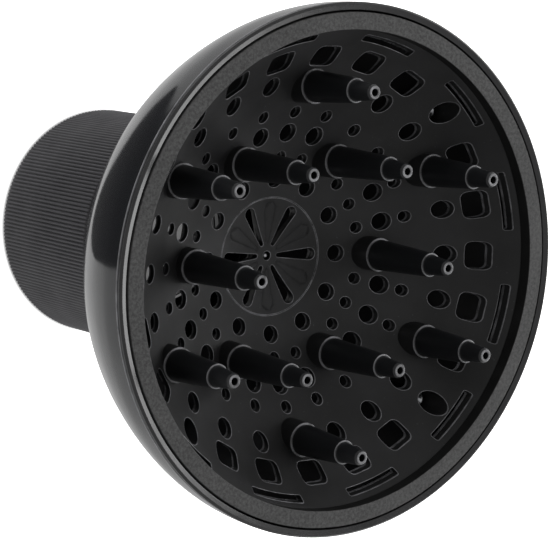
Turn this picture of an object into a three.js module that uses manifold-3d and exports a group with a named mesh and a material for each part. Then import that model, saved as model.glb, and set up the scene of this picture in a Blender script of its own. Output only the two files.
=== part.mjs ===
// Universal hair dryer diffuser: a bell-shaped housing with a perforated finger plate in its mouth,
// and a twist collar behind it whose cam plate swings six jaws in on the dryer's nozzle.
// Millimetres, +Z up. The collar's rear face is at z = 0, the fingers point up, and the axis is Z.
import * as THREE from 'three';
import { mergeVertices } from 'three/addons/utils/BufferGeometryUtils.js';
import Module from 'manifold-3d';

const wasm = await Module();
wasm.setup();

// Driving dimensions
const GAP = 0.3; // clearance between neighbouring pieces
const ROUND = 40; // facets round a large circle
const FINE_ROUND = 10; // facets round a finger or a boss
const SMALL_ROUND = 6; // facets round a small hole or a screw

const rimZ = 140; // plane of the rim at the mouth
const housingR = 79.9; // outside of the bell at the rim
const housingWall = 2.4;
const neckR = 35.6; // neck that the collar turns on
const neckBoreR = 33;
const shoulderZ = 54.9; // rear end of the bell, in front of the collar
const shoulderR = 39.2;
const webZ = 36.6; // rear face of the wall across the neck
const webThick = 2.6;
const throatR = 22.8; // air passage through the web and the jaw carrier
const plateLedgeR = 74.8; // ledge inside the mouth that the finger plate rests on
const plateLedgeThick = 2;
const grooveZ = 44; // groove round the neck for the drag ring
const grooveWidth = 2.6;
const grooveDepth = 1.4;

const bezelR = 79.85;
const bezelBoreR = 77.4;
const bezelSkirtR = 78.3;
const bezelZ = 139.3;
const bezelFrontZ = 140.7;

const faceRingR = 77.1;
const faceRingBoreR = 71.75;
const faceRingZ = 136.1;
const faceRingFrontZ = 140.3;

const dishR = 88.3; // spherical dish of the finger plate
const dishCentreZ = 186.9;
const plateThick = 2.2;
const plateR = 77;
const flangeZ = 133.3;
const flangeFrontZ = 135.8;
const dishEdgeR = 71.9; // where the dish meets the flange, in front and behind
const dishEdgeUnderR = 72.9;
const belowPlateZ = 88; // cutters for the plate's holes run between these two levels
const abovePlateZ = 160;

const discR = 18.4; // centre disc in its recess
const discThick = 2;
const recessR = discR + 0.35;
const recessDepth = discThick + GAP;
const recessFloor = 1.8;
const recessUnderR = 20.2;
const discHoleR = 1.4;
const discSlot = { inner: 3.6, outer: 17.2, innerHalf: 0.65, outerHalf: 1.9 };
const spokeWindow = { inner: 4.6, outer: 17.6, innerHalf: 1.2, outerHalf: 3.2 };
const centreScrewSize = {
  headR: 2.2,
  headThick: 1.6,
  shaftR: 1.05,
  pointR: 0.5,
  pointLength: 0.6,
  length: 4,
};

const innerFingerRing = 34.7;
const outerFingerRing = 54.05;
const innerFinger = { bottomZ: 102.9, sleeveZ: 111.4, stepZ: 136.6, tipZ: 144.9 };
const outerFinger = { bottomZ: 112.5, sleeveZ: 121.4, stepZ: 141.2, tipZ: 149.9 };
const sleeveR = 5.5; // socket on the plate that a finger plugs into
const sleeveBoreR = 4.3;
const fingerR = {
  root: 4,
  barrel: 4.85,
  barrelTop: 3.7,
  nose: 3.1,
  noseTop: 2.35,
  tip: 1.8,
  bore: 2.9,
  boreTop: 2.1,
  hole: 1.1,
};

// Rings of round holes: radius of the ring, radius of its holes and facets round each hole
const centreRing = { at: 24.25, holeR: 2.65, facets: SMALL_ROUND };
const innerSmallRing = { at: 31.3, holeR: 1.8, facets: 5 };
const innerLargeRing = { at: 39, holeR: 2.85, facets: SMALL_ROUND };
const outerSmallRing = { at: 45.6, holeR: 1.8, facets: 5 };
const outerLargeRing = { at: 55.6, holeR: 2.85, facets: SMALL_ROUND };
const squareRing = 63.3; // ring of rounded square holes
const squareHalf = { out: 3, across: 4.4 }; // half sizes towards the rim and along the ring
const squareCorner = 1.8;
const rimSlotInnerR = 68.6; // ring of curved slots, next to the flange
const rimSlotOuterR = 70.4;
const rimSlotReach = 7.8; // degrees to each side of the slot's middle

const wellRing = 64.7; // the four plate screws
const wellR = 3.6;
const wellWall = 1.3;
const wellFloorZ = 117.4;
const wellFloor = 1.5;
const postR = 3.6;
const postBoreZ = 106;
const plateScrewR = 1.5;
const plateScrewHeadR = 2.9;
const plateScrewHead = 2;
const plateScrewTipZ = 109;

const collarR = 38.2;
const collarBoreR = 36;
const collarFrontZ = 54.3;
const collarChamfer = 0.8;
const ribEndZ = 52.2;
const bandInset = 0.4; // smooth band in front of the ribs
const lipR = 34; // lip round the collar's rear mouth
const lipThick = 2;
const beadZ = 34.2; // bead on the collar, between the cam plate and the neck's web
const beadR = 33.3;

const carrierZ = 28.6; // rear face of the jaw carrier, where the dryer nozzle stops
const carrierThick = 2.6;
const carrierR = 35.6;
const hubR = 27.2;
const stopR = 29; // raised land that the nozzle's edge meets
const stopZ = 28.35;
const carrierScrewRing = 25.3;
const carrierScrewZ = 28.8;
const carrierScrewR = 1;
const carrierScrewHeadR = 2;
const carrierScrewHead = 1.3;
const carrierScrewTipZ = 42.6;
const carrierBoss = { outerR: 2.4, fromZ: 37.6, topZ: 44.6 };

const dragRingZ = 44.3; // rubber ring in the neck's groove, bulging against the collar
const dragRingThick = 2;
const dragRingInnerR = 34.5;
const dragRingOuterR = 35.5;
const dragRingBulgeR = 35.7;

const camZ = 31.5;
const camThick = 2.4;
const camR = 35.7;
const camBoreR = 27.5;
const keyAngle = 27; // keys that lock the cam plate to the collar
const keyWidth = 4.4;
const keyDepth = 2.6;
const keyR = 35.5;

const jawCount = 6;
const pivotRing = 33.4;
const pinR = 1;
const pinHeadR = 1.8;
const pinHead = 0.9;
const pinTopZ = 30.9;
const eyeR = 2.2;
const jawR = 35.6;
const jawInnerR = 33.2;
const jawZ = 3.6;
const jawTopZ = 28.2;
const jawSpan = 50; // degrees of arc from the pivot to the free end
const padThick = 1.2;
const padStart = 6; // degrees from the pivot
const padZ = 5;
const padTopZ = 27;
const leverLength = 8.5; // pivot to drive post
const leverStart = 95.95; // direction of the drive post from its pivot when open, in degrees
const jawSwing = 22;
const collarTurn = 40;
const driveR = 0.9;
const drivePostZ = 27.3;
const drivePostTopZ = 33.6;

const degrees = Math.PI / 180;

// Materials
const glossBlack = { color: 0x15161a, roughness: 0.16, metalness: 0 };
const satinBlack = { color: 0x3c3d40, roughness: 0.42, metalness: 0 };
const matteGrey = { color: 0x3a3b3d, roughness: 0.85, metalness: 0 };
const plateBlack = { color: 0x242527, roughness: 0.6, metalness: 0 };
const fingerBlack = { color: 0x141518, roughness: 0.48, metalness: 0 };
const ribbedBlack = { color: 0x2b2d31, roughness: 0.6, metalness: 0 };
const nylonBlack = { color: 0x1d1e20, roughness: 0.55, metalness: 0 };
const siliconeGrey = { color: 0x4a4b4d, roughness: 0.8, metalness: 0 };
const rubberBlack = { color: 0x101012, roughness: 0.75, metalness: 0 };
const zincSteel = { color: 0xa9abae, roughness: 0.3, metalness: 1 };

// A closed geometry as a manifold solid
function toSolid(geometry) {
  const bare = geometry.clone();
  bare.deleteAttribute('normal');
  bare.deleteAttribute('uv');
  const merged = mergeVertices(bare);
  const index = merged.index.array;
  const kept = [];
  for (let i = 0; i < index.length; i += 3) {
    const [a, b, c] = [index[i], index[i + 1], index[i + 2]];
    if (a !== b && b !== c && c !== a) kept.push(a, b, c);
  }
  const triVerts = Uint32Array.from(kept);
  const vertProperties = merged.attributes.position.array;
  return new wasm.Manifold(new wasm.Mesh({ numProp: 3, vertProperties, triVerts }));
}

function toGeometry(solid) {
  const mesh = solid.getMesh();
  const geometry = new THREE.BufferGeometry();
  geometry.setAttribute('position', new THREE.BufferAttribute(mesh.vertProperties, 3));
  geometry.setIndex(new THREE.BufferAttribute(mesh.triVerts, 1));
  geometry.computeVertexNormals();
  return geometry;
}

// A closed outline of [radius, z] points, anticlockwise, turned round Z
function revolve(outline, facets = ROUND) {
  const points = outline.map(([r, z]) => new THREE.Vector2(r, z));
  const last = outline[outline.length - 1];
  if (outline[0][0] > 0 || last[0] > 0) points.push(points[0].clone());
  return toSolid(new THREE.LatheGeometry(points, facets).rotateX(Math.PI / 2));
}

function prism(shape, fromZ, toZ, curveSegments = 3) {
  const settings = { depth: toZ - fromZ, bevelEnabled: false, curveSegments };
  return toSolid(new THREE.ExtrudeGeometry(shape, settings).translate(0, 0, fromZ));
}

function rod(radius, fromZ, toZ, facets, x = 0, y = 0) {
  const cylinder = new THREE.CylinderGeometry(radius, radius, toZ - fromZ, facets);
  return toSolid(cylinder.rotateX(Math.PI / 2).translate(x, y, (fromZ + toZ) / 2));
}

const turned = (solid, angle) => solid.rotate([0, 0, angle]);

// Copies of a solid every so many degrees round Z
function ring(solid, angles) {
  return angles.map((angle) => turned(solid, angle));
}

function steps(count, first = 0, skip = () => false) {
  const all = Array.from({ length: count }, (_, i) => first + (i * 360) / count);
  return all.filter((angle) => !skip(angle));
}

// A slot of constant width along a list of [x, y] points, with round ends
function slotShape(path, halfWidth) {
  const heading = (i) => {
    const a = path[Math.max(i - 1, 0)];
    const b = path[Math.min(i + 1, path.length - 1)];
    return Math.atan2(b[1] - a[1], b[0] - a[0]);
  };
  const at = (i, turn) => {
    const angle = heading(i) + turn;
    const side = new THREE.Vector2(Math.cos(angle), Math.sin(angle));
    return side.multiplyScalar(halfWidth).add(new THREE.Vector2(...path[i]));
  };
  const end = path.length - 1;
  const quarter = Math.PI / 2;
  const outline = path.map((_, i) => at(i, -quarter));
  outline.push(at(end, -quarter / 2), at(end, 0), at(end, quarter / 2));
  for (let i = end; i >= 0; i -= 1) outline.push(at(i, quarter));
  outline.push(at(0, Math.PI - quarter / 2), at(0, Math.PI), at(0, Math.PI + quarter / 2));
  return new THREE.Shape(outline);
}

function arcPath(radius, fromAngle, toAngle, count, x = 0, y = 0) {
  return Array.from({ length: count + 1 }, (_, i) => {
    const angle = (fromAngle + ((toAngle - fromAngle) * i) / count) * degrees;
    return [x + radius * Math.cos(angle), y + radius * Math.sin(angle)];
  });
}

// A slot that widens outwards along X to a round end
function keyholeShape({ inner, outer, innerHalf, outerHalf }) {
  const shape = new THREE.Shape();
  shape.moveTo(inner, -innerHalf);
  shape.lineTo(outer - outerHalf, -outerHalf);
  shape.absarc(outer - outerHalf, 0, outerHalf, -Math.PI / 2, Math.PI / 2, false);
  shape.lineTo(inner, innerHalf);
  return shape;
}

const dishHeight = (r, drop = 0) => dishCentreZ - Math.sqrt((dishR + drop) ** 2 - r * r);

function dishLine(fromR, toR, count, drop = 0) {
  return Array.from({ length: count + 1 }, (_, i) => {
    const r = fromR + ((toR - fromR) * i) / count;
    return [r, dishHeight(r, drop)];
  });
}

// Bell housing: side curve, from the rear shoulder to the rim
const bellCurve = new THREE.SplineCurve([
  new THREE.Vector2(shoulderR, shoulderZ),
  new THREE.Vector2(41.2, 62.5),
  new THREE.Vector2(46.4, 71.9),
  new THREE.Vector2(56.1, 84.3),
  new THREE.Vector2(65, 96.7),
  new THREE.Vector2(72.2, 109),
  new THREE.Vector2(77.2, 121.4),
  new THREE.Vector2(79.5, 131),
  new THREE.Vector2(housingR, bezelZ - GAP),
]);

// Points on the bell's side, moved in from the outside by a depth
function bellLine(fromT, toT, count, depth) {
  return Array.from({ length: count + 1 }, (_, i) => {
    const t = fromT + ((toT - fromT) * i) / count;
    const point = bellCurve.getPoint(t);
    const along = bellCurve.getTangent(t);
    return [point.x - along.y * depth, point.y + along.x * depth];
  });
}

function bellHousing() {
  const outside = bellLine(0, 1, 8, 0);
  const inside = bellLine(0.16, 0.86, 4, housingWall).reverse();
  const plateLedgeZ = flangeZ - GAP;
  const shell = revolve([
    ...outside,
    [bezelSkirtR + GAP, bezelZ - GAP],
    [bezelSkirtR + GAP, plateLedgeZ],
    [plateLedgeR, plateLedgeZ],
    [plateLedgeR, plateLedgeZ - plateLedgeThick],
    ...inside,
    [neckBoreR, shoulderZ + housingWall + 0.2],
    [neckBoreR, webZ + webThick],
    [throatR, webZ + webThick],
    [throatR, webZ],
    [neckR, webZ],
    [neckR, grooveZ],
    [neckR - grooveDepth, grooveZ],
    [neckR - grooveDepth, grooveZ + grooveWidth],
    [neckR, grooveZ + grooveWidth],
    [neckR, shoulderZ],
  ]);
  const middle = bellLine(0, 1, 8, housingWall / 2);
  const filled = revolve([[0, shoulderZ], ...middle, [0, bezelZ]]);
  const postTopZ = wellFloorZ - wellFloor - GAP;
  const post = rod(postR, belowPlateZ, postTopZ, FINE_ROUND, wellRing).intersect(filled);
  const postBore = rod(plateScrewR + GAP, postBoreZ, postTopZ + 1, SMALL_ROUND, wellRing);
  const { outerR, fromZ, topZ } = carrierBoss;
  const boss = rod(outerR, fromZ, topZ, SMALL_ROUND, carrierScrewRing);
  const bossBore = rod(carrierScrewR + GAP, webZ - 1, topZ + 1, SMALL_ROUND, carrierScrewRing);
  const posts = ring(post, steps(4, 45));
  const bosses = ring(boss, steps(3));
  const bores = [...ring(postBore, steps(4, 45)), ...ring(bossBore, steps(3))];
  return wasm.Manifold.union([shell, ...posts, ...bosses]).subtract(wasm.Manifold.union(bores));
}

function rimBezel() {
  return revolve([
    [bezelBoreR, flangeZ + GAP],
    [bezelSkirtR, flangeZ + GAP],
    [bezelSkirtR, bezelZ],
    [bezelR, bezelZ],
    [bezelR, bezelFrontZ - 0.6],
    [bezelR - 0.5, bezelFrontZ],
    [bezelBoreR + 0.6, bezelFrontZ],
    [bezelBoreR, bezelFrontZ - 0.6],
  ]);
}

function faceRing() {
  return revolve([
    [faceRingBoreR, faceRingZ],
    [faceRingR, faceRingZ],
    [faceRingR, faceRingFrontZ],
    [faceRingBoreR + 0.3, faceRingFrontZ],
    [faceRingBoreR, faceRingFrontZ - 0.3],
  ]);
}

const fingerAngles = { inner: steps(6), outer: steps(6, 30) };

function fingerPlate() {
  const front = dishLine(recessR, dishEdgeR, 4).reverse();
  const dish = revolve([
    ...dishLine(discHoleR, recessUnderR, 1, recessDepth + recessFloor),
    ...dishLine(recessUnderR, dishEdgeUnderR, 3, plateThick),
    [plateR, flangeZ],
    [plateR, flangeFrontZ],
    ...front,
    ...dishLine(discHoleR, recessR, 1, recessDepth).reverse(),
  ]);
  const below = revolve([[0, belowPlateZ], [plateR, belowPlateZ], ...front, [0, belowPlateZ + 0.1]]);

  const innerSleeve = rod(sleeveR, innerFinger.bottomZ, innerFinger.sleeveZ, FINE_ROUND, innerFingerRing);
  const outerSleeve = rod(sleeveR, outerFinger.bottomZ, outerFinger.sleeveZ, FINE_ROUND, outerFingerRing);
  const cup = rod(wellR + wellWall, wellFloorZ - wellFloor, rimZ, FINE_ROUND, wellRing).intersect(below);
  const solids = [
    dish,
    ...ring(innerSleeve, fingerAngles.inner),
    ...ring(outerSleeve, fingerAngles.outer),
    ...ring(cup, steps(4, 45)),
  ];

  const cut = (radius, at, facets) => rod(radius, belowPlateZ, abovePlateZ, facets, at);
  const cutRing = ({ at, holeR, facets }, angles) => ring(cut(holeR, at, facets), angles);
  const { out, across } = squareHalf;
  const outEnd = out - squareCorner;
  const acrossEnd = across - squareCorner;
  const corners = [
    [-out, -acrossEnd],
    [-outEnd, -across],
    [outEnd, -across],
    [out, -acrossEnd],
    [out, acrossEnd],
    [outEnd, across],
    [-outEnd, across],
    [-out, acrossEnd],
  ];
  const outline = new THREE.Shape(corners.map(([x, y]) => new THREE.Vector2(x + squareRing, y)));
  const square = prism(outline, belowPlateZ, abovePlateZ);
  const band = bandShape(rimSlotInnerR, rimSlotOuterR, -rimSlotReach, rimSlotReach, 2);
  const rimSlot = prism(band, belowPlateZ, abovePlateZ);
  const spokes = prism(keyholeShape(spokeWindow), belowPlateZ, abovePlateZ, 1);
  const well = rod(wellR, wellFloorZ, abovePlateZ, FINE_ROUND, wellRing);

  const underInner = (angle) => angle % 60 === 0;
  const underOuter = (angle) => angle % 60 === 30;
  const underScrew = (angle) => angle % 90 === 45;
  const holes = [
    ...ring(cut(sleeveBoreR, innerFingerRing, FINE_ROUND), fingerAngles.inner),
    ...ring(cut(sleeveBoreR, outerFingerRing, FINE_ROUND), fingerAngles.outer),
    ...cutRing(centreRing, steps(12)),
    ...cutRing(innerSmallRing, steps(24, 0, underInner)),
    ...cutRing(innerLargeRing, steps(24, 0, underInner)),
    ...cutRing(outerSmallRing, steps(24)),
    ...cutRing(outerLargeRing, steps(24, 0, underOuter)),
    ...ring(square, steps(24, 0, underScrew)),
    ...ring(rimSlot, steps(12, 15)),
    ...ring(spokes, fingerAngles.inner),
    ...ring(well, steps(4, 45)),
    ...ring(cut(plateScrewR + GAP, wellRing, SMALL_ROUND), steps(4, 45)),
  ];
  return wasm.Manifold.union(solids).subtract(wasm.Manifold.union(holes));
}

function centreDisc() {
  const disc = revolve([
    ...dishLine(discHoleR, discR, 1, discThick),
    ...dishLine(discHoleR, discR, 1).reverse(),
  ]);
  const slot = prism(keyholeShape(discSlot), belowPlateZ, abovePlateZ);
  return disc.subtract(wasm.Manifold.union(ring(slot, steps(6))));
}

function centreScrew() {
  const seatZ = dishHeight(0, recessDepth + recessFloor) - GAP;
  const { headR, headThick, shaftR, pointR, pointLength, length } = centreScrewSize;
  return revolve([
    [0, seatZ - headThick],
    [headR, seatZ - headThick],
    [headR, seatZ],
    [shaftR, seatZ],
    [shaftR, seatZ + length - pointLength],
    [pointR, seatZ + length],
    [0, seatZ + length],
  ], SMALL_ROUND);
}

// One hollow air finger, standing on the Z axis
function airFinger(levels) {
  const shoulder = levels.sleeveZ + GAP;
  return revolve([
    [fingerR.bore, levels.bottomZ],
    [fingerR.root, levels.bottomZ],
    [fingerR.root, shoulder],
    [fingerR.barrel, shoulder],
    [fingerR.barrelTop, levels.stepZ],
    [fingerR.nose, levels.stepZ],
    [fingerR.noseTop, levels.tipZ - 0.6],
    [fingerR.tip, levels.tipZ],
    [fingerR.hole, levels.tipZ],
    [fingerR.boreTop, levels.stepZ - 1.5],
    [fingerR.bore, shoulder],
  ], FINE_ROUND);
}

// A screw or pin with its head in front
function frontScrew(shaftR, headR, tipZ, headZ, headTopZ) {
  return revolve([
    [0, tipZ],
    [shaftR, tipZ],
    [shaftR, headZ],
    [headR, headZ],
    [headR, headTopZ],
    [0, headTopZ],
  ], FINE_ROUND);
}

// A screw or pin with its head at the rear
function rearScrew(shaftR, headR, headZ, shaftZ, tipZ) {
  return revolve([
    [0, headZ],
    [headR, headZ],
    [headR, shaftZ],
    [shaftR, shaftZ],
    [shaftR, tipZ],
    [0, tipZ],
  ], FINE_ROUND);
}

function onRing(radius, angle) {
  return [radius * Math.cos(angle * degrees), radius * Math.sin(angle * degrees)];
}

function boxSolid(width, depth, fromZ, toZ, x) {
  return toSolid(new THREE.BoxGeometry(width, depth, toZ - fromZ).translate(x, 0, (fromZ + toZ) / 2));
}

const keyAngles = steps(3, keyAngle);

function twistCollar() {
  const sleeve = revolve([
    [lipR, 0],
    [collarR - collarChamfer, 0],
    [collarR, collarChamfer],
    [collarR, ribEndZ],
    [collarR - bandInset, ribEndZ + 0.2],
    [collarR - bandInset, collarFrontZ],
    [collarBoreR, collarFrontZ],
    [collarBoreR, webZ - GAP],
    [beadR, webZ - GAP],
    [beadR, beadZ],
    [collarBoreR, beadZ],
    [collarBoreR, lipThick],
    [lipR, lipThick],
  ]);
  const key = boxSolid(keyDepth, keyWidth, camZ + 0.1, beadZ + 0.1, keyR);
  return wasm.Manifold.union([sleeve, ...ring(key, keyAngles)]);
}

function dragRing() {
  return revolve([
    [dragRingInnerR, dragRingZ],
    [dragRingOuterR, dragRingZ],
    [dragRingBulgeR, dragRingZ + dragRingThick / 2],
    [dragRingOuterR, dragRingZ + dragRingThick],
    [dragRingInnerR, dragRingZ + dragRingThick],
  ]);
}

// Where a jaw's drive post is when the jaw has swung by an angle, for the jaw whose pivot is on +X
function drivePoint(swing) {
  const [x, y] = onRing(leverLength, leverStart + swing);
  return [pivotRing + x, y];
}

function camPlate() {
  const topZ = camZ + camThick;
  const plate = revolve([
    [camBoreR, camZ],
    [camR, camZ],
    [camR, topZ],
    [camBoreR, topZ],
  ]);
  const count = 5;
  const path = Array.from({ length: count + 1 }, (_, i) => {
    const share = i / count;
    const point = new THREE.Vector2(...drivePoint(jawSwing * share));
    point.rotateAround(new THREE.Vector2(), -collarTurn * share * degrees);
    return [point.x, point.y];
  });
  const slot = prism(slotShape(path, driveR + GAP), camZ - 1, topZ + 1);
  const notch = boxSolid(keyDepth + 1.4, keyWidth + 2 * GAP, camZ - 1, topZ + 1, keyR + 0.4);
  const cuts = [...ring(slot, steps(jawCount)), ...ring(notch, keyAngles)];
  return plate.subtract(wasm.Manifold.union(cuts));
}

function jawCarrier() {
  const topZ = carrierZ + carrierThick;
  const belowZ = 20;
  const aboveZ = 40;
  const plate = revolve([
    [throatR, stopZ],
    [stopR, stopZ],
    [stopR, carrierZ],
    [carrierR, carrierZ],
    [carrierR, topZ],
    [hubR, topZ],
    [hubR, webZ - GAP],
    [throatR, webZ - GAP],
  ]);
  const pinHole = rod(pinR + GAP, belowZ, aboveZ, SMALL_ROUND, pivotRing);
  const sweep = arcPath(leverLength, leverStart, leverStart + jawSwing, 3, pivotRing);
  const driveSlot = prism(slotShape(sweep, driveR + 1.2 * GAP), belowZ, aboveZ);
  const screwHole = rod(carrierScrewR + GAP, belowZ, aboveZ, SMALL_ROUND, carrierScrewRing);
  const recessTopZ = carrierScrewZ + carrierScrewHead + GAP;
  const headRecess = rod(carrierScrewHeadR + GAP, belowZ, recessTopZ, FINE_ROUND, carrierScrewRing);
  const cuts = [
    ...ring(pinHole, steps(jawCount)),
    ...ring(driveSlot, steps(jawCount)),
    ...ring(screwHole, steps(3)),
    ...ring(headRecess, steps(3)),
  ];
  return plate.subtract(wasm.Manifold.union(cuts));
}

function pivotPin() {
  const headTopZ = jawZ - GAP;
  return rearScrew(pinR, pinHeadR, headTopZ - pinHead, headTopZ, pinTopZ);
}

// A band of arc round the axis, between two radii and two angles
function bandShape(innerR, outerR, fromAngle, toAngle, count) {
  const outside = arcPath(outerR, fromAngle, toAngle, count);
  const inside = arcPath(innerR, fromAngle, toAngle, count).reverse();
  return new THREE.Shape([...outside, ...inside].map(([x, y]) => new THREE.Vector2(x, y)));
}

// The jaw whose pivot is on +X
function jaw() {
  const body = prism(bandShape(jawInnerR, jawR, 0, jawSpan, 6), jawZ, jawTopZ);
  const eye = rod(eyeR, jawZ, jawTopZ, FINE_ROUND, pivotRing);
  const post = rod(driveR, drivePostZ, drivePostTopZ, SMALL_ROUND, ...drivePoint(0));
  const bore = rod(pinR + GAP, jawZ - 1, jawTopZ + 1, FINE_ROUND, pivotRing);
  return wasm.Manifold.union([body, eye, post]).subtract(bore);
}

function jawPad() {
  const outer = jawInnerR - GAP;
  return prism(bandShape(outer - padThick, outer, padStart, jawSpan - 1, 5), padZ, padTopZ);
}

const diffuser = new THREE.Group();

// Adds a solid as a named mesh, standing at x, y and turned round Z by an angle in degrees
function place(name, solid, finish, { x = 0, y = 0, angle = 0 } = {}) {
  const mesh = new THREE.Mesh(toGeometry(solid), new THREE.MeshStandardMaterial(finish));
  mesh.name = name;
  mesh.position.set(x, y, 0);
  mesh.rotation.z = angle * degrees;
  diffuser.add(mesh);
}

function placeRing(name, solid, finish, radius, angles) {
  angles.forEach((angle, i) => {
    const [x, y] = onRing(radius, angle);
    place(`${name}_${i + 1}`, solid, finish, { x, y, angle });
  });
}

place('bell_housing', bellHousing(), glossBlack);
place('rim_bezel', rimBezel(), satinBlack);
place('face_ring', faceRing(), matteGrey);
place('finger_plate', fingerPlate(), plateBlack);
place('centre_disc', centreDisc(), plateBlack);
place('centre_screw', centreScrew(), zincSteel);
placeRing('inner_finger', airFinger(innerFinger), fingerBlack, innerFingerRing, fingerAngles.inner);
placeRing('outer_finger', airFinger(outerFinger), fingerBlack, outerFingerRing, fingerAngles.outer);
const plateScrewZ = wellFloorZ + GAP;
const plateScrew = frontScrew(
  plateScrewR,
  plateScrewHeadR,
  plateScrewTipZ,
  plateScrewZ,
  plateScrewZ + plateScrewHead,
);
placeRing('plate_screw', plateScrew, zincSteel, wellRing, steps(4, 45));
place('twist_collar', twistCollar(), ribbedBlack);
place('drag_ring', dragRing(), rubberBlack);
place('cam_plate', camPlate(), nylonBlack);
place('jaw_carrier', jawCarrier(), nylonBlack);
const carrierScrew = rearScrew(
  carrierScrewR,
  carrierScrewHeadR,
  carrierScrewZ,
  carrierScrewZ + carrierScrewHead,
  carrierScrewTipZ,
);
placeRing('carrier_screw', carrierScrew, zincSteel, carrierScrewRing, steps(3));
placeRing('pivot_pin', pivotPin(), zincSteel, pivotRing, steps(jawCount));
steps(jawCount).forEach((angle, i) => {
  place(`jaw_${i + 1}`, jaw(), nylonBlack, { angle });
  place(`jaw_pad_${i + 1}`, jawPad(), siliconeGrey, { angle });
});

export default diffuser;
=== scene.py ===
# A universal hair dryer diffuser, standing on its twist collar with its fingers up. Sizes are in
# millimetres in each section and turned to metres where a mesh is made.
import math

import bmesh
import bpy
from mathutils import Matrix, Vector, geometry


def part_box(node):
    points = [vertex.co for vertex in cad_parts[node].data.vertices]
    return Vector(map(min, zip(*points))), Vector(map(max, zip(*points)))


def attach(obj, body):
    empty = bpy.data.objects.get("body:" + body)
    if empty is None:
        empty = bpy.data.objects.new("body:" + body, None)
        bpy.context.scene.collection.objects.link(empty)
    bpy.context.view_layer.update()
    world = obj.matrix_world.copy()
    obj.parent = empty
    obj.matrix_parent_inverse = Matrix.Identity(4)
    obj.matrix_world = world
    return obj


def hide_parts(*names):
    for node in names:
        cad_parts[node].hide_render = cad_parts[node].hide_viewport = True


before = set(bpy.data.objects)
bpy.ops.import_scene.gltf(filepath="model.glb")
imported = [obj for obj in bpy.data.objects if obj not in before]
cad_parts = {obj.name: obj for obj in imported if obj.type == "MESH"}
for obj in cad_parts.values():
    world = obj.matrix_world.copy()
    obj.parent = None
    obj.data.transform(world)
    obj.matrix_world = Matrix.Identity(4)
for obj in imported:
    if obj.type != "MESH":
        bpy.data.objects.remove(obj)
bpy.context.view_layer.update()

# ---------------------------------------------------------------------------------------------
# Bell housing. One injection moulding in polished black ABS: the bell, the neck that the collar
# turns on, the wall across the neck that the jaw carrier is screwed to, and four screw posts.
MM = 0.001
bell_low, bell_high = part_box("bell_housing")
rim_z = bell_high.z / MM
neck_z = bell_low.z / MM
bell_r = (bell_high.x - bell_low.x) / 2 / MM
bell_wall = 2.4
shoulder_z = 54.9
neck_r = 35.6
neck_bore_r = 33.0
throat_r = 22.8
ledge_z = 133.0
post_ring = 64.7
carrier_screw_ring = 25.3


def side_curve(points, count):
    """A smooth curve through a few [radius, z] points, as count + 1 points."""
    line = []
    last = len(points) - 1
    for step in range(count + 1):
        place = last * step / count
        i = min(int(place), last - 1)
        t = place - i
        a, b, c, d = (Vector(points[min(max(k, 0), last)]) for k in (i - 1, i, i + 1, i + 2))
        bend = 2 * b + (c - a) * t + (2 * a - 5 * b + 4 * c - d) * t ** 2
        line.append((bend + (3 * b - a - 3 * c + d) * t ** 3) / 2)
    return line


def moved_in(line, depth):
    """The same line, set back to its left by a depth."""
    moved = []
    for i, point in enumerate(line):
        along = (line[min(i + 1, len(line) - 1)] - line[max(i - 1, 0)]).normalized()
        moved.append(point + Vector((-along.y, along.x)) * depth)
    return moved


def rounded(outline, radius, steps=4):
    """A closed outline with its corners eased to a radius. Corners that hardly turn are kept."""
    points = []
    for i, corner in enumerate(outline):
        here = Vector(corner)
        back = Vector(outline[i - 1]) - here
        on = Vector(outline[(i + 1) % len(outline)]) - here
        turn = back.angle(on)
        if turn > math.radians(165):
            points.append(here)
            continue
        cut = min(radius / math.tan(turn / 2), back.length * 0.45, on.length * 0.45)
        first = here + back.normalized() * cut
        last = here + on.normalized() * cut
        for step in range(steps + 1):
            t = step / steps
            points.append(first * (1 - t) ** 2 + here * 2 * t * (1 - t) + last * t ** 2)
    return points


def spin_into(bm, outline, turns, centre=(0, 0)):
    """Turns a closed [radius, z] outline round an upright axis."""
    rings = []
    for k in range(turns):
        c, s = math.cos(math.tau * k / turns), math.sin(math.tau * k / turns)
        rings.append([bm.verts.new(((centre[0] + r * c) * MM, (centre[1] + r * s) * MM, z * MM))
                      for r, z in outline])
    for k in range(turns):
        near, far = rings[k], rings[(k + 1) % turns]
        for i in range(len(outline)):
            j = (i + 1) % len(outline)
            bm.faces.new((near[i], far[i], far[j], near[j]))


def shell(name, bm):
    """Closes a mesh up as a smooth piece whose flat faces stay flat next to their rounded edges."""
    bmesh.ops.remove_doubles(bm, verts=bm.verts, dist=1e-7)
    bmesh.ops.recalc_face_normals(bm, faces=bm.faces)
    mesh = bpy.data.meshes.new(name)
    bm.to_mesh(mesh)
    bm.free()
    mesh.shade_smooth()
    piece = bpy.data.objects.new(name, mesh)
    bpy.context.scene.collection.objects.link(piece)
    weigh = piece.modifiers.new("flat faces", "WEIGHTED_NORMAL")
    weigh.keep_sharp = True
    return piece


def spun(name, outline, turns=192, centre=(0, 0)):
    bm = bmesh.new()
    spin_into(bm, outline, turns, centre)
    return shell(name, bm)


def dress(piece, materials, slot, body, *cad_nodes):
    """Gives a piece its materials, the later ones for faces picked out by index, such as edges with a
    painted highlight, and the CAD body and nodes that it stands for."""
    for material in materials:
        piece.data.materials.append(material)
    if len(materials) == 1:
        for face in piece.data.polygons:
            face.material_index = 0
    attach(piece, body)
    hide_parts(*cad_nodes)


def linear(hex_colour):
    """An sRGB hex colour as the linear RGBA that a shader takes."""
    parts = [int(hex_colour[i:i + 2], 16) / 255 for i in (0, 2, 4)]
    return (*[c / 12.92 if c <= 0.04045 else ((c + 0.055) / 1.055) ** 2.4 for c in parts], 1)


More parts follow.
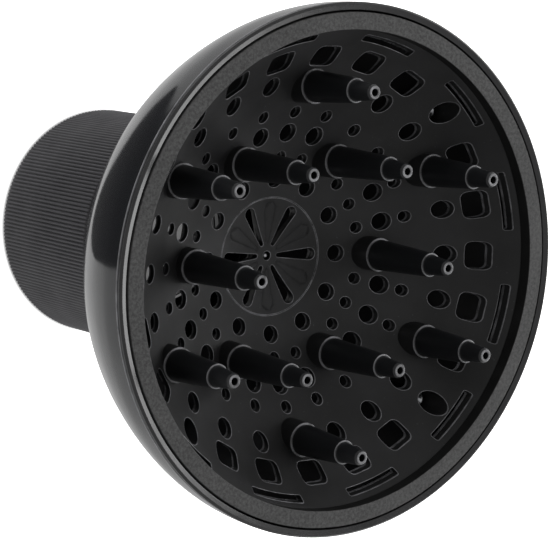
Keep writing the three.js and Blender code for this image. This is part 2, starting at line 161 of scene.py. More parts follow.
def add(tree, kind, settings=None, links=None):
    """Adds a shader node with its settings. A link is a value for a socket or another node's output."""
    made = tree.nodes.new(kind)
    for name, value in (settings or {}).items():
        setattr(made, name, value)
    for name, value in (links or {}).items():
        if isinstance(value, bpy.types.NodeSocket):
            tree.links.new(value, made.inputs[name])
        else:
            made.inputs[name].default_value = value
    return made


def new_finish(name):
    """An empty material's node tree, and the piece's own coordinates in metres."""
    material = bpy.data.materials.new(name)
    material.use_nodes = True
    tree = material.node_tree
    tree.nodes.clear()
    return material, tree, add(tree, "ShaderNodeTexCoord").outputs["Object"]


def mottled(tree, where, size, low, high, detail=3.0, rough=0.5):
    """A number that wanders between low and high, in patches of about a size in mm."""
    cloud = add(tree, "ShaderNodeTexNoise", links={
        "Vector": where, "Scale": 1 / (size * MM), "Detail": detail, "Roughness": rough})
    spread = add(tree, "ShaderNodeMapRange", links={
        "Value": cloud.outputs["Fac"], "From Min": 0.3, "From Max": 0.7, "To Min": low, "To Max": high})
    return spread.outputs["Result"]


# Polished ABS, moulded in a mirror-finished tool: near black, with sharp reflections that waver very
# slightly, and a film of dust and finger marks that dulls it in patches.
polished_abs, tree, where = new_finish("polished black ABS")
smudge = mottled(tree, where, 38, 0.07, 0.17, detail=5)
tint = add(tree, "ShaderNodeMix", {"data_type": "RGBA"}, {
    "Factor": mottled(tree, where, 60, 0, 1), "A": linear("0d0e10"), "B": linear("141518")})
dust = add(tree, "ShaderNodeTexNoise", links={"Vector": where, "Scale": 1 / (0.7 * MM), "Detail": 2.0})
specks = add(tree, "ShaderNodeMapRange", links={
    "Value": dust.outputs["Fac"], "From Min": 0.74, "From Max": 0.80, "To Min": 0.0, "To Max": 0.12})
dusty = add(tree, "ShaderNodeMix", {"data_type": "RGBA"}, {
    "Factor": specks.outputs["Result"], "A": tint.outputs["Result"], "B": linear("6c6d70")})
waver = add(tree, "ShaderNodeTexNoise", links={"Vector": where, "Scale": 1 / (6 * MM), "Detail": 1.0})
ripple = add(tree, "ShaderNodeBump", links={
    "Height": waver.outputs["Fac"], "Strength": 0.04, "Distance": 0.5 * MM})
surface = add(tree, "ShaderNodeBsdfPrincipled", links={
    "Base Color": dusty.outputs["Result"], "Roughness": smudge, "IOR": 1.53,
    "Normal": ripple.outputs["Normal"]})
add(tree, "ShaderNodeOutputMaterial", links={"Surface": surface.outputs["BSDF"]})

# The same ABS inside the bell, off the unpolished core of the tool: a dull dark grey.
core_abs, tree, where = new_finish("unpolished ABS core side")
tint = add(tree, "ShaderNodeMix", {"data_type": "RGBA"}, {
    "Factor": mottled(tree, where, 14, 0, 1, detail=5), "A": linear("2c2c2d"), "B": linear("3c3c3d")})
surface = add(tree, "ShaderNodeBsdfPrincipled", links={
    "Base Color": tint.outputs["Result"], "Roughness": mottled(tree, where, 10, 0.55, 0.7), "IOR": 1.53})
add(tree, "ShaderNodeOutputMaterial", links={"Surface": surface.outputs["BSDF"]})

# Its front edge, with a painted highlight: a fine pale line round the rim.
rim_highlight_abs, tree, where = new_finish("ABS edge with painted highlight")
tint = add(tree, "ShaderNodeMix", {"data_type": "RGBA"}, {
    "Factor": mottled(tree, where, 4, 0, 1, detail=4), "A": linear("4a4a4c"), "B": linear("737376")})
surface = add(tree, "ShaderNodeBsdfPrincipled", links={
    "Base Color": tint.outputs["Result"], "Roughness": mottled(tree, where, 3, 0.25, 0.4), "IOR": 1.53})
add(tree, "ShaderNodeOutputMaterial", links={"Surface": surface.outputs["BSDF"]})

bell_points = [(39.2, shoulder_z), (41.2, 62.5), (46.4, 71.9), (56.1, 84.3), (65, 96.7),
               (72.2, 109), (77.2, 121.4), (79.5, 131), (bell_r, rim_z)]
outside = side_curve(bell_points, 72)
inside = moved_in(outside, bell_wall)[11:62]  # from above the shoulder to below the ledge
ledge_inner_r = 74.8
rim_bore_r = 78.6
groove_z = 44.0
groove_depth = 1.4
groove_width = 2.6
web_thick = 2.6
bell_outline = [Vector(p) for p in outside[:-1]]
bell_outline += rounded([
    (bell_r, rim_z - 1.2), (bell_r, rim_z), (rim_bore_r, rim_z), (rim_bore_r, rim_z - 1.2)], 0.45, 5)[6:-6]
bell_outline += [Vector(p) for p in (
    (rim_bore_r, ledge_z), (ledge_inner_r, ledge_z), (ledge_inner_r, ledge_z - 2))]
bell_outline += inside[::-1]
neck = [(neck_bore_r, shoulder_z + web_thick), (neck_bore_r, neck_z + web_thick),
        (throat_r, neck_z + web_thick), (throat_r, neck_z), (neck_r, neck_z), (neck_r, groove_z),
        (neck_r - groove_depth, groove_z), (neck_r - groove_depth, groove_z + groove_width),
        (neck_r, groove_z + groove_width), (neck_r, shoulder_z)]
eased = rounded([(40, shoulder_z + 9)] + neck + [(39.2, shoulder_z)], 0.4, 3)
bell_outline += eased[4:-4]
bm = bmesh.new()
spin_into(bm, bell_outline, 240)
housing = shell("gloss_bell", bm)
dress(housing, [polished_abs, core_abs, rim_highlight_abs], "gloss_black", "housing", "bell_housing")
for polygon in housing.data.polygons:
    middle, facing = polygon.center, polygon.normal
    # The rounded front of the rim takes the painted highlight.
    if middle.z > (rim_z - 0.4) * MM and middle.xy.length > (bell_r - 0.7) * MM:
        polygon.material_index = 2
    elif middle.z > (shoulder_z + 2) * MM and facing.xy.dot(middle.xy) < 0:
        polygon.material_index = 1

post_r = 3.6
post_bore_r = 1.8
post_foot = 104
post_top = 115.7
for number in range(4):
    angle = math.radians(45 + 90 * number)
    post = [(post_bore_r, post_foot), (post_r, post_foot), (post_r, post_top - 0.3),
            (post_r - 0.3, post_top), (post_bore_r + 0.3, post_top), (post_bore_r, post_top - 0.3)]
    piece = spun(f"screw_post_{number + 1}", post, 32,
                 (post_ring * math.cos(angle), post_ring * math.sin(angle)))
    dress(piece, [polished_abs], "gloss_black", "housing", "bell_housing")
for number in range(3):
    angle = math.radians(120 * number)
    boss = [(1.3, neck_z + 2), (2.4, neck_z + 2), (2.4, 44.3), (2.1, 44.6), (1.6, 44.6), (1.3, 44.3)]
    piece = spun(f"carrier_boss_{number + 1}", boss, 32,
                 (carrier_screw_ring * math.cos(angle), carrier_screw_ring * math.sin(angle)))
    dress(piece, [polished_abs], "gloss_black", "housing", "bell_housing")

# ---------------------------------------------------------------------------------------------
# Rim bezel. A thin lip of satin ABS pressed into the front edge of the bell. It covers the seam
# between the bell and the finger plate. Its front rises to a crest, and the slopes catch the light.
bezel_low, bezel_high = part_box("rim_bezel")
bezel_r = (bezel_high.x - bezel_low.x) / 2 / MM
bezel_bore_r = 77.5
bezel_front_z = bezel_high.z / MM
crest_r = 79.15
skirt_r = 78.3
skirt_z = 133.6
seam_z = rim_z + 0.45
front_slope = 0.6

# Satin ABS from a lightly blasted tool: near black, with soft highlights and a little wear.
satin_abs, tree, where = new_finish("satin ABS")
tint = add(tree, "ShaderNodeMix", {"data_type": "RGBA"}, {
    "Factor": mottled(tree, where, 9, 0, 1, detail=6), "A": linear("151516"), "B": linear("212122")})
grain = add(tree, "ShaderNodeTexNoise", links={"Vector": where, "Scale": 1 / (0.25 * MM), "Detail": 2.0})
tooth = add(tree, "ShaderNodeBump", links={
    "Height": grain.outputs["Fac"], "Strength": 0.12, "Distance": 0.04 * MM})
surface = add(tree, "ShaderNodeBsdfPrincipled", links={
    "Base Color": tint.outputs["Result"], "Roughness": mottled(tree, where, 12, 0.2, 0.3),
    "IOR": 1.53, "Normal": tooth.outputs["Normal"]})
add(tree, "ShaderNodeOutputMaterial", links={"Surface": surface.outputs["BSDF"]})

bezel_outline = rounded([
    (bezel_bore_r, skirt_z), (skirt_r, skirt_z), (skirt_r, seam_z), (bezel_r, seam_z),
    (bezel_r, bezel_front_z - front_slope), (crest_r, bezel_front_z),
    (bezel_bore_r, bezel_front_z - front_slope)], 0.3, 5)
bezel = spun("satin_lip", bezel_outline, 240)
dress(bezel, [satin_abs], "satin_black", "housing", "rim_bezel")

# ---------------------------------------------------------------------------------------------
# Face ring. A flat ring in spark-textured black nylon that lies on the finger plate's flange and
# holds it down. The coarse tooth makes it the palest matte band of the mouth.
ring_low, ring_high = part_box("face_ring")
ring_bore_r = 71.75
ring_r = (ring_high.x - ring_low.x) / 2 / MM - 0.15
ring_z = ring_low.z / MM
ring_front_z = ring_high.z / MM

# Spark-eroded nylon: dark grey with a dry, even grain, drawn two to three times coarser than the real
# third of a millimetre so that it still shows across the whole ring.
spark_nylon, tree, where = new_finish("spark-textured nylon")
grain = add(tree, "ShaderNodeTexNoise", links={"Vector": where, "Scale": 1 / (0.9 * MM), "Detail": 4.0,
                                               "Roughness": 0.7})
shade = add(tree, "ShaderNodeMapRange", links={
    "Value": grain.outputs["Fac"], "From Min": 0.35, "From Max": 0.65})
tint = add(tree, "ShaderNodeMix", {"data_type": "RGBA"}, {
    "Factor": shade.outputs["Result"], "A": linear("2f2f2f"), "B": linear("494949")})
tooth = add(tree, "ShaderNodeBump", links={
    "Height": grain.outputs["Fac"], "Strength": 0.25, "Distance": 0.12 * MM})
surface = add(tree, "ShaderNodeBsdfPrincipled", links={
    "Base Color": tint.outputs["Result"], "Roughness": mottled(tree, where, 15, 0.66, 0.8),
    "IOR": 1.36, "Normal": tooth.outputs["Normal"]})
add(tree, "ShaderNodeOutputMaterial", links={"Surface": surface.outputs["BSDF"]})

# The ring's bore, coloured a dull, deep black: painted shade on the wall that faces in.
shaded_bore_nylon, tree, where = new_finish("nylon bore with painted shade")
tint = add(tree, "ShaderNodeMix", {"data_type": "RGBA"}, {
    "Factor": mottled(tree, where, 5, 0, 1, detail=5), "A": linear("0b0b0b"), "B": linear("151515")})
surface = add(tree, "ShaderNodeBsdfPrincipled", links={
    "Base Color": tint.outputs["Result"], "Roughness": mottled(tree, where, 8, 0.6, 0.75), "IOR": 1.4})
add(tree, "ShaderNodeOutputMaterial", links={"Surface": surface.outputs["BSDF"]})

face_outline = rounded([
    (ring_bore_r, ring_z), (ring_r, ring_z), (ring_r, ring_front_z), (ring_bore_r, ring_front_z)], 0.3, 4)
face = spun("textured_ring", face_outline, 240)
dress(face, [spark_nylon, shaded_bore_nylon], "matte_grey", "housing", "face_ring")
# The bore wall takes the painted shade.
for polygon in face.data.polygons:
    polygon.material_index = int(polygon.center.xy.length < (ring_bore_r + 0.1) * MM)

# ---------------------------------------------------------------------------------------------
# Finger plate. A dished moulding in matte black heat-resistant nylon, pierced by rings of holes and
# slots that spread the air, with a short socket for each finger and four wells for its screws.
disc_low, disc_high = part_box("centre_disc")
disc_r = (disc_high.x - disc_low.x) / 2 / MM
dish_r = 88.3
dish_centre_z = disc_high.z / MM + math.sqrt(dish_r ** 2 - disc_r ** 2)
plate_thick = 2.2
plate_edge_r = 71.95
flange_r = 77
flange_top = 135.8
flange_low = 133.3
recess_r = 18.5
recess_depth = 2.3
floor_thick = 1.8
socket_r = 5.4
socket_bore_r = 4.3
well_r = 3.45
well_wall = 0.25
well_floor_z = 117.4
inner_finger_ring = 34.7
outer_finger_ring = 54.05
inner_socket_z = 111.4
outer_socket_z = 121.4


def polar(radius, degrees):
    return Vector((radius * math.cos(math.radians(degrees)), radius * math.sin(math.radians(degrees))))


def circle(radius, count, centre=(0, 0)):
    return [Vector(centre) + polar(radius, 360 * k / count) for k in range(count)]


def turned(loop, degrees):
    """A loop of [x, y] points turned round the axis."""
    spin = Matrix.Rotation(math.radians(degrees), 2)
    return [spin @ Vector(point) for point in loop]


def offset(loop, distance):
    """An anticlockwise loop moved outwards by a distance."""
    moved = []
    for i, point in enumerate(loop):
        along = (loop[(i + 1) % len(loop)] - loop[i - 1]).normalized()
        moved.append(point + Vector((along.y, -along.x)) * distance)
    return moved


def holds(loop, point):
    """Whether a loop goes round a point."""
    inside_it = False
    for a, b in zip(loop, loop[1:] + loop[:1]):
        if (a.y > point.y) != (b.y > point.y):
            if point.x < a.x + (point.y - a.y) / (b.y - a.y) * (b.x - a.x):
                inside_it = not inside_it
    return inside_it


def divided(loop, longest=1.0):
    """The same loop with its long edges split."""
    points = []
    for a, b in zip(loop, loop[1:] + loop[:1]):
        pieces = max(1, round((b - a).length / longest))
        points += [a.lerp(b, k / pieces) for k in range(pieces)]
    return points


def filling(outer, holes, lines, spacing):
    """Points on rings round the axis, inside the outer loop, outside the holes and clear of every line."""
    spans = []
    for loop in holes:
        middle = sum(loop, Vector((0, 0))) / len(loop)
        spans.append((loop, middle, max((p - middle).length for p in loop)))
    near = {}
    for loop in [outer, *holes, *lines]:
        for p in loop:
            near.setdefault((int(p.x // spacing), int(p.y // spacing)), []).append(p)
    reach = max(p.length for p in outer)
    points = []
    for ring in range(1, int(reach / spacing)):
        radius = ring * spacing
        count = max(6, round(math.tau * radius / spacing))
        for k in range(count):
            point = polar(radius, 360 * (k + 0.5 * (ring % 2)) / count)
            cell = (int(point.x // spacing), int(point.y // spacing))
            close = (p for i in (-1, 0, 1) for j in (-1, 0, 1)
                     for p in near.get((cell[0] + i, cell[1] + j), ()))
            if any((p - point).length < spacing * 0.55 for p in close):
                continue
            if any((point - middle).length < span and holds(loop, point) for loop, middle, span in spans):
                continue
            if holds(outer, point):
                points.append(point)
    return points


def sheet(bm, outer, holes, height, spacing, creases=()):
    """Small triangles over the surface z = height(x, y), between an outer loop and the holes in it.
    A crease is a loop with a depth, drawn down into the surface. Gives back each loop's vertices."""
    loops = [outer, *holes, *[loop for loop, _ in creases]]
    points, edges, owner, depth = [], [], [], []
    for number, loop in enumerate(loops):
        start = len(points)
        points += loop
        edges += [(start + i, start + (i + 1) % len(loop)) for i in range(len(loop))]
        owner += [number] * len(loop)
        sunk = creases[number - 1 - len(holes)][1] if number > len(holes) else 0
        depth += [sunk] * len(loop)
    spread = filling(outer, holes, [loop for loop, _ in creases], spacing)
    points += spread
    owner += [-1] * len(spread)
    depth += [0] * len(spread)
    flat, _, faces, origin, _, _ = geometry.delaunay_2d_cdt(points, edges, [], 0, 1e-5)
    verts = [bm.verts.new((p.x * MM, p.y * MM, (height(p.x, p.y) - depth[origin[i][0]]) * MM))
             for i, p in enumerate(flat)]
    for face in faces:
        owners = {owner[origin[i][0]] for i in face}
        if len(owners) == 1 and 0 < min(owners) <= len(holes):
            if holds(loops[min(owners)], sum((flat[i] for i in face), Vector((0, 0))) / 3):
                continue
        bm.faces.new([verts[i] for i in face])
    place = {origin[i][0]: verts[i] for i in range(len(flat)) if origin[i]}
    rings, start = [], 0
    for loop in loops:
        rings.append([place[start + i] for i in range(len(loop))])
        start += len(loop)
    return rings[0], rings[1:1 + len(holes)]


def hoop(bm, loop, height):
    return [bm.verts.new((x * MM, y * MM, height(x, y) * MM)) for x, y in loop]


def strip(bm, a, b, material=0):
    """A band of faces between two rings of as many points."""
    for i in range(len(a)):
        j = (i + 1) % len(a)
        bm.faces.new((a[i], a[j], b[j], b[i])).material_index = material


def rounded_edge(bm, start, loop, into, height, side, radius):
    """Rounds an edge over, from the sheet's own ring to the wall that stands on the loop.
    into is 1 where the material lies outside the loop and -1 inside, side is 1 for a top edge."""
    last = start
    for step in (1, 2, 3):
        angle = step * math.pi / 6
        path = offset(loop, into * radius * (1 - math.sin(angle)))
        drop = side * radius * (1 - math.cos(angle))
        now = hoop(bm, path, lambda x, y: height(x, y) - drop)
        # Fillet faces take material 1, which on the plate and disc is the painted edge highlight.
        strip(bm, last, now, 1)
        last = now
    return last


def dish(drop):
    """The dish's surface, or one parallel to it and a depth behind it."""
    return lambda x, y: dish_centre_z - math.sqrt((dish_r + drop) ** 2 - x * x - y * y)


def level(z):
    return lambda x, y: z


def arc_band(inner, outer, start, end, count):
    """A loop round a band between two radii and two angles."""
    far = [polar(outer, start + (end - start) * k / count) for k in range(count + 1)]
    near = [polar(inner, end + (start - end) * k / count) for k in range(count + 1)]
    return far + near


def keyhole(inner, outer, inner_half, outer_half, count=10):
    """A slot along +X that widens to a round end."""
    tip = [Vector((outer - outer_half, 0)) + polar(outer_half, -90 + 180 * k / count)
           for k in range(count + 1)]
    root = [Vector((inner + inner_half, 0)) + polar(inner_half, 90 + 180 * k / 6) for k in range(7)]
    return tip + root


# Moulded nylon, from a lightly etched tool: matte near-black with a fine grain, slightly greyer where
# it has been handled, and a few pale specks of lint and dust.
etched_nylon, tree, where = new_finish("etched black nylon")
haze = add(tree, "ShaderNodeMix", {"data_type": "RGBA"}, {
    "Factor": mottled(tree, where, 22, 0, 1, detail=6, rough=0.6),
    "A": linear("191919"), "B": linear("252526")})
dust = add(tree, "ShaderNodeTexNoise", links={"Vector": where, "Scale": 1 / (0.9 * MM), "Detail": 2.0})
specks = add(tree, "ShaderNodeMapRange", links={
    "Value": dust.outputs["Fac"], "From Min": 0.70, "From Max": 0.78, "To Min": 0.0, "To Max": 0.5})
dusty = add(tree, "ShaderNodeMix", {"data_type": "RGBA"}, {
    "Factor": specks.outputs["Result"], "A": haze.outputs["Result"], "B": linear("4a4b4e")})
grain = add(tree, "ShaderNodeTexNoise", links={"Vector": where, "Scale": 1 / (0.35 * MM), "Detail": 3.0})
tooth = add(tree, "ShaderNodeBump", links={
    "Height": grain.outputs["Fac"], "Strength": 0.25, "Distance": 0.06 * MM})
surface = add(tree, "ShaderNodeBsdfPrincipled", links={
    "Base Color": dusty.outputs["Result"], "Roughness": mottled(tree, where, 18, 0.46, 0.6, detail=5),
    "IOR": 1.42, "Normal": tooth.outputs["Normal"]})
add(tree, "ShaderNodeOutputMaterial", links={"Surface": surface.outputs["BSDF"]})

# The same nylon, made paler and shinier for a painted highlight along its rounded edges, so that every
# hole is drawn round with a fine line.
highlight_nylon, tree, where = new_finish("black nylon with painted highlights")
tint = add(tree, "ShaderNodeMix", {"data_type": "RGBA"}, {
    "Factor": mottled(tree, where, 3, 0, 1, detail=4), "A": linear("464647"), "B": linear("77777a")})
surface = add(tree, "ShaderNodeBsdfPrincipled", links={
    "Base Color": tint.outputs["Result"], "Roughness": mottled(tree, where, 2, 0.22, 0.34), "IOR": 1.5})
add(tree, "ShaderNodeOutputMaterial", links={"Surface": surface.outputs["BSDF"]})

angles_24 = [15 * k for k in range(24)]
between_inner = [a for a in angles_24 if a % 60]
between_outer = [a for a in angles_24 if a % 60 != 30]
inner_angles = [60 * k for k in range(6)]
outer_angles = [30 + 60 * k for k in range(6)]
well_angles = [45, 135, 225, 315]
round_holes = [(24.25, 2.65, 28, [30 * k for k in range(12)]), (31.3, 1.8, 22, between_inner),
               (39.0, 2.85, 28, between_inner), (45.6, 1.8, 22, angles_24), (55.6, 2.85, 28, between_outer)]
plate_holes = []
for ring_radius, hole_radius, count, angles in round_holes:
    plate_holes += [circle(hole_radius, count, polar(ring_radius, a)) for a in angles]
square = divided(rounded([(60.3, -4.4), (66.3, -4.4), (66.3, 4.4), (60.3, 4.4)], 2.2, 6), 1.2)
plate_holes += [turned(square, a) for a in angles_24 if a % 90 != 45]
rim_slot = rounded(arc_band(68.75, 70.55, -7.8, 7.8, 12), 0.55, 4)
plate_holes += [turned(rim_slot, 15 + 30 * k) for k in range(12)]

edge = 0.2
top, underside = dish(0), dish(plate_thick)
foot = 0.15
sockets = [(polar(inner_finger_ring, a), inner_socket_z) for a in inner_angles]
sockets += [(polar(outer_finger_ring, a), outer_socket_z) for a in outer_angles]
wells = [polar(post_ring, a) for a in well_angles]

bm = bmesh.new()
top_loops = [circle(recess_r + edge, 96)]
top_loops += [offset(loop, edge) for loop in plate_holes]
top_loops += [circle(socket_r + foot, 40, at) for at, _ in sockets]
top_loops += [circle(well_r + edge, 36, at) for at in wells]
rim_top, tops = sheet(bm, circle(plate_edge_r, 180), top_loops, top, 2.4)
under_loops = [circle(20.2, 96), *plate_holes]
under_loops += [circle(socket_bore_r, 40, at) for at, _ in sockets]
under_loops += [circle(well_r + well_wall, 36, at) for at in wells]
rim_under, unders = sheet(bm, circle(72.9, 180), under_loops, underside, 3.2)

last = rim_top
for radius, z in ((72.3, flange_top), (flange_r - 0.3, flange_top), (flange_r, flange_top - 0.3),
                  (flange_r, flange_low + 0.3), (flange_r - 0.3, flange_low), (73.3, flange_low)):
    now = hoop(bm, circle(radius, 180), level(z))
    strip(bm, last, now)
    last = now
strip(bm, last, rim_under)

first_hole, first_socket = 1, 1 + len(plate_holes)
first_well = first_socket + len(sockets)
for i, loop in enumerate(plate_holes):
    last = rounded_edge(bm, tops[first_hole + i], loop, 1, top, 1, edge)
    # The wall ends in a thin bead of flash, coloured pale as a painted highlight.
    for inwards, drop, painted_highlight in ((0, 1.6, 0), (0.2, 1.9, 1), (0.2, 2.1, 1)):
        now = hoop(bm, offset(loop, -inwards), dish(drop))
        strip(bm, last, now, painted_highlight)
        last = now
    strip(bm, last, unders[first_hole + i], 1)
for i, (at, ledge) in enumerate(sockets):
    last = tops[first_socket + i]
    for radius, rise in ((socket_r + 0.04, 0.04), (socket_r, foot)):
        now = hoop(bm, circle(radius, 40, at), lambda x, y: top(x, y) + rise)
        strip(bm, last, now)
        last = now
    # The socket's rounded lip and ledge take the painted highlight.
    for radius, z, painted_highlight in ((socket_r, ledge - 0.3, 0), (socket_r - 0.07, ledge - 0.1, 1),
                            (socket_r - 0.25, ledge, 1), (4.5, ledge, 1), (4.3, ledge - 0.2, 1)):
        now = hoop(bm, circle(radius, 40, at), level(z))
        strip(bm, last, now, painted_highlight)
        last = now
    strip(bm, last, unders[first_socket + i])
for i, at in enumerate(wells):
    wall = rounded_edge(bm, tops[first_well + i], circle(well_r, 36, at), 1, top, 1, edge)
    last = wall
    for radius, z in ((well_r, well_floor_z + 0.3), (well_r - 0.3, well_floor_z), (1.8, well_floor_z),
                      (1.8, well_floor_z - 1.5), (well_r, well_floor_z - 1.5),
                      (well_r + well_wall, well_floor_z - 1.3)):
        now = hoop(bm, circle(radius, 36, at), level(z))
        strip(bm, last, now)
        last = now
    strip(bm, last, unders[first_well + i])

spoke_gap = divided(keyhole(4.6, 17.6, 1.2, 3.2))
floor_holes = [circle(1.4, 24)] + [turned(spoke_gap, a) for a in inner_angles]
floor_top, floor_under = dish(recess_depth), dish(recess_depth + floor_thick)
recess_wall = rounded_edge(bm, tops[0], circle(recess_r, 96), 1, top, 1, edge)
floor_ring, floor_tops = sheet(bm, circle(recess_r, 96), floor_holes, floor_top, 2.4)
strip(bm, recess_wall, floor_ring)
base_ring, base_holes = sheet(bm, circle(20.2, 96), floor_holes, floor_under, 2.4)
strip(bm, unders[0], base_ring)
for a, b in zip(floor_tops, base_holes):
    strip(bm, a, b)
plate = shell("pierced_plate", bm)
dress(plate, [etched_nylon, highlight_nylon], "plate_black", "housing", "finger_plate")

# ---------------------------------------------------------------------------------------------
# Centre disc. A separate thin disc in the same nylon, let into the middle of the plate. It has six
# open keyhole slots, and six outlines engraved between them.
disc_thick = 2.0
disc_hole_r = 1.4
slot_loop = divided(keyhole(3.6, 17.3, 0.65, 1.85))
outline_loop = divided(keyhole(4.0, 17.0, 0.45, 2.1, 14), 0.8)
disc_slots = [turned(slot_loop, a) for a in inner_angles]
engraved = []
for a in outer_angles:
    middle = turned(outline_loop, a)
    engraved += [(offset(middle, 0.15), 0), (middle, 0.4), (offset(middle, -0.15), 0)]
bm = bmesh.new()
disc_edge = 0.25
disc_under = dish(disc_thick)
disc_holes = [circle(disc_hole_r, 28), *disc_slots]
ring_top, hole_tops = sheet(bm, circle(disc_r - disc_edge, 96), [offset(loop, 0.2) for loop in disc_holes],
                            top, 1.3, engraved)
ring_under, hole_unders = sheet(bm, circle(disc_r, 96), disc_holes, disc_under, 2.4)
strip(bm, rounded_edge(bm, ring_top, circle(disc_r, 96), -1, top, 1, disc_edge), ring_under)
for loop, a, b in zip(disc_holes, hole_tops, hole_unders):
    strip(bm, rounded_edge(bm, a, loop, 1, top, 1, 0.2), b)
disc = shell("slotted_disc", bm)
dress(disc, [etched_nylon, highlight_nylon], "plate_black", "housing", "centre_disc")

# ---------------------------------------------------------------------------------------------
# Centre screw. A small zinc-plated self-tapping screw, driven from behind. Only its blunt point
# shows, in the disc's centre hole.
screw_low, screw_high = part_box("centre_screw")
head_z = screw_low.z / MM
point_z = screw_high.z / MM

# Bright zinc on steel: a clean pale metal with fine turning marks and a faint clouding.
zinc_steel, tree, where = new_finish("zinc-plated steel")
clouding = mottled(tree, where, 1.5, 0.2, 0.36)
turning = add(tree, "ShaderNodeTexNoise", links={"Vector": where, "Scale": 1 / (0.2 * MM), "Detail": 2.0})
marks = add(tree, "ShaderNodeBump", links={
    "Height": turning.outputs["Fac"], "Strength": 0.15, "Distance": 0.02 * MM})
tint = add(tree, "ShaderNodeMix", {"data_type": "RGBA"}, {
    "Factor": mottled(tree, where, 2.5, 0, 1), "A": linear("9b9da0"), "B": linear("c2c3c5")})
surface = add(tree, "ShaderNodeBsdfPrincipled", links={
    "Base Color": tint.outputs["Result"], "Metallic": 1.0, "Roughness": clouding,
    "Normal": marks.outputs["Normal"]})
add(tree, "ShaderNodeOutputMaterial", links={"Surface": surface.outputs["BSDF"]})

thread = []
for turn in range(4):
    z = head_z + 1.9 + turn * 0.8
    thread += [(0.95, z), (1.1, z + 0.2), (1.1, z + 0.3), (0.95, z + 0.5)]
screw_outline = [(0, head_z + 0.5), (1.0, head_z + 0.5), (1.2, head_z), (1.9, head_z), (2.2, head_z + 0.4),
                 (2.2, head_z + 1.4), (2.0, head_z + 1.6), (0.95, head_z + 1.6), *thread,
                 (0.9, point_z - 0.6), (0.45, point_z), (0, point_z)]
tapper = spun("disc_screw", screw_outline, 32)
dress(tapper, [zinc_steel], "zinc_steel", "housing", "centre_screw")

# ---------------------------------------------------------------------------------------------
# Air fingers. Twelve hollow stepped tubes in smooth black nylon, pushed into the plate's sockets:
# a tapering barrel, a narrow step, a slimmer nose and an open tip that the air leaves by.
finger = {"root": 4.0, "bore": 2.9, "barrel": 4.85, "top": 3.7, "nose": 3.1, "nose_top": 2.35, "tip": 1.85,
          "hole": 1.1}

# Smooth moulded nylon: darker and a little shinier than the plate, with faint flow marks along it.
smooth_nylon, tree, where = new_finish("smooth black nylon")
stretch = add(tree, "ShaderNodeMapping", links={"Vector": where, "Scale": (1.0, 1.0, 0.18)})
flow = add(tree, "ShaderNodeTexNoise", links={"Vector": stretch.outputs["Vector"], "Scale": 1 / (1.1 * MM),
                                              "Detail": 3.0})
tint = add(tree, "ShaderNodeMix", {"data_type": "RGBA"}, {
    "Factor": flow.outputs["Fac"], "A": linear("0e0f11"), "B": linear("1a1b1d")})
streaks = add(tree, "ShaderNodeBump", links={
    "Height": flow.outputs["Fac"], "Strength": 0.12, "Distance": 0.08 * MM})
surface = add(tree, "ShaderNodeBsdfPrincipled", links={
    "Base Color": tint.outputs["Result"], "Roughness": mottled(tree, where, 5, 0.34, 0.48, detail=4),
    "IOR": 1.5, "Normal": streaks.outputs["Normal"]})
add(tree, "ShaderNodeOutputMaterial", links={"Surface": surface.outputs["BSDF"]})


def air_finger(name, at):
    """One finger, from the levels of its CAD node, with painted highlights on its tip and step."""
    low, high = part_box(name)
    bottom, tip = low.z / MM, high.z / MM
    inner = name.startswith("inner")
    sleeve = (inner_socket_z if inner else outer_socket_z) + 0.12
    step = tip - (8.3 if inner else 8.7)
    outline = [(finger["bore"], bottom), (finger["root"], bottom), (finger["root"], sleeve),
               (finger["barrel"], sleeve), (finger["top"], step), (finger["nose"], step),
               (finger["nose_top"], tip - 0.7), (finger["tip"], tip), (finger["hole"], tip),
               (2.1, step - 1.5), (finger["bore"], sleeve)]
    tube = spun(name + "_tube", rounded(outline, 0.22, 4), 56, at)
    dress(tube, [smooth_nylon, highlight_nylon], "finger_black", "housing", name)
    for polygon in tube.data.polygons:
        level_z = polygon.center.z / MM
        out = (polygon.center.xy / MM - Vector(at)).length
        # Faces at the tip and round the step's outer edge take the painted highlight.
        painted_highlight = level_z > tip - 0.3 or (abs(level_z - step) < 0.25 and out > finger["top"] - 0.35)
        polygon.material_index = int(painted_highlight)


for kind, ring_radius, angles in (("inner", inner_finger_ring, inner_angles),
                                  ("outer", outer_finger_ring, outer_angles)):
    for number, angle in enumerate(angles, 1):
        name = f"{kind}_finger_{number}"
        air_finger(name, polar(ring_radius, angle))

# ---------------------------------------------------------------------------------------------
# Plate screws. Four zinc-plated pan-head screws at the bottom of the wells, each with a round drive
# recess. They hold the finger plate down on the bell's posts.
for number, angle in enumerate(well_angles, 1):
    name = f"plate_screw_{number}"
    low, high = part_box(name)
    z0, z1 = low.z / MM, high.z / MM
    seat = z1 - 2.0
    recess = [(0, z1 - 1.2), (0.9, z1 - 0.9), (1.5, z1 - 0.1)]
    pan = [(1.75, z1), (2.3, z1 - 0.25), (2.75, z1 - 0.8), (2.9, z1 - 1.5), (2.9, seat + 0.1), (2.8, seat)]
    shank = [(1.5, seat), (1.5, z0 + 1.5), (0.4, z0), (0, z0)]
    piece = spun(f"well_screw_{number}", recess + pan + shank, 40, polar(post_ring, angle))
    dress(piece, [zinc_steel], "zinc_steel", "housing", name)

# ---------------------------------------------------------------------------------------------
# Twist collar. A sleeve in satin black ABS with fine lengthwise ribs for grip. It turns on the
# bell's neck, and the cam plate inside turns with it.
collar_low, collar_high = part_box("twist_collar")
collar_r = (collar_high.x - collar_low.x) / 2 / MM
collar_front = collar_high.z / MM
collar_bore_r = 36
lip_r = 34
lip_thick = 2
bead_r = 33.3
bead_low, bead_high = 34.2, 36.3
rib_count = 188
rib_depth = 0.5
rib_end = 52.2
points_per_rib = 8
